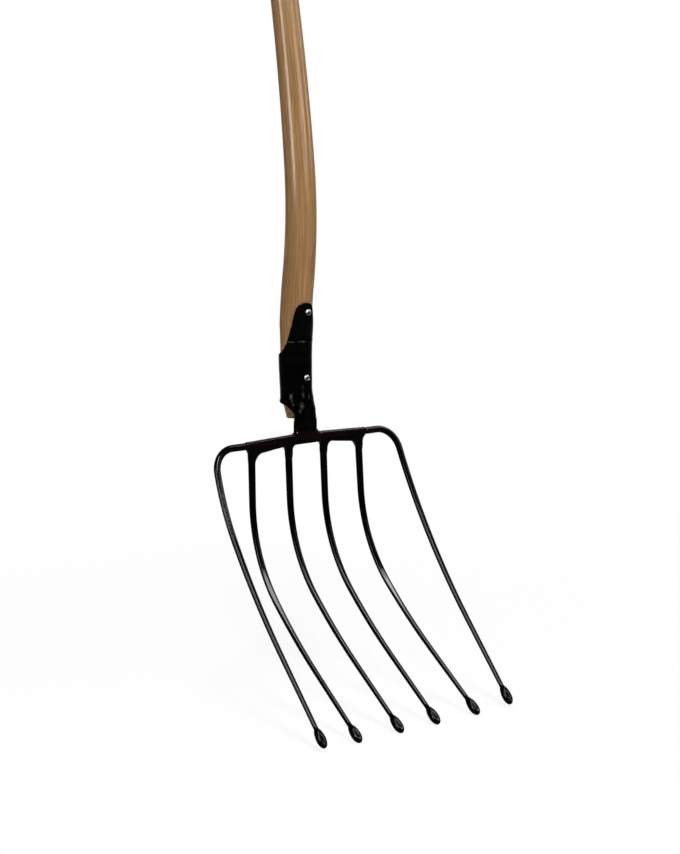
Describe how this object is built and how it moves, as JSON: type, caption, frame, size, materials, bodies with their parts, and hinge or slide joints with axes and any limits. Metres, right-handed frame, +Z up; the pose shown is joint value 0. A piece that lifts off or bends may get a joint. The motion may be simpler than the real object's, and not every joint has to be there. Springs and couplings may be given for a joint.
{
  "type": "beet fork",
  "caption": "Beet fork with a bent ash shaft screwed into an open forged socket, and curved round tines ending in olive points.",
  "frame": {"origin": "middle of the crossbar's underside, between the two middle tines, on the fork's plane of symmetry", "axes": "+Z up from the head towards the shaft, square to the crossbar; +X along the crossbar; -Y to the fork's hollow side, towards which the tines curve"},
  "size_m": [0.2742, 0.4028, 1.6438],
  "materials": {
    "black_lacquer": "glossy black lacquer over hand-forged steel, thin at the edges",
    "ash": "turned ash with long open grain under a thin satin varnish",
    "zinc": "bright zinc plating"
  },
  "bodies": {
    "root": {"handle": "ash", "socket": "black_lacquer", "crossbar": "black_lacquer", "tine_1_outer_left": "black_lacquer", "tine_2_inner": "black_lacquer", "tine_3_inner": "black_lacquer", "tine_4_inner": "black_lacquer", "tine_5_inner": "black_lacquer", "tine_6_outer_right": "black_lacquer", "screw_upper": "zinc", "screw_lower": "zinc"}
  },
  "joints": []
}
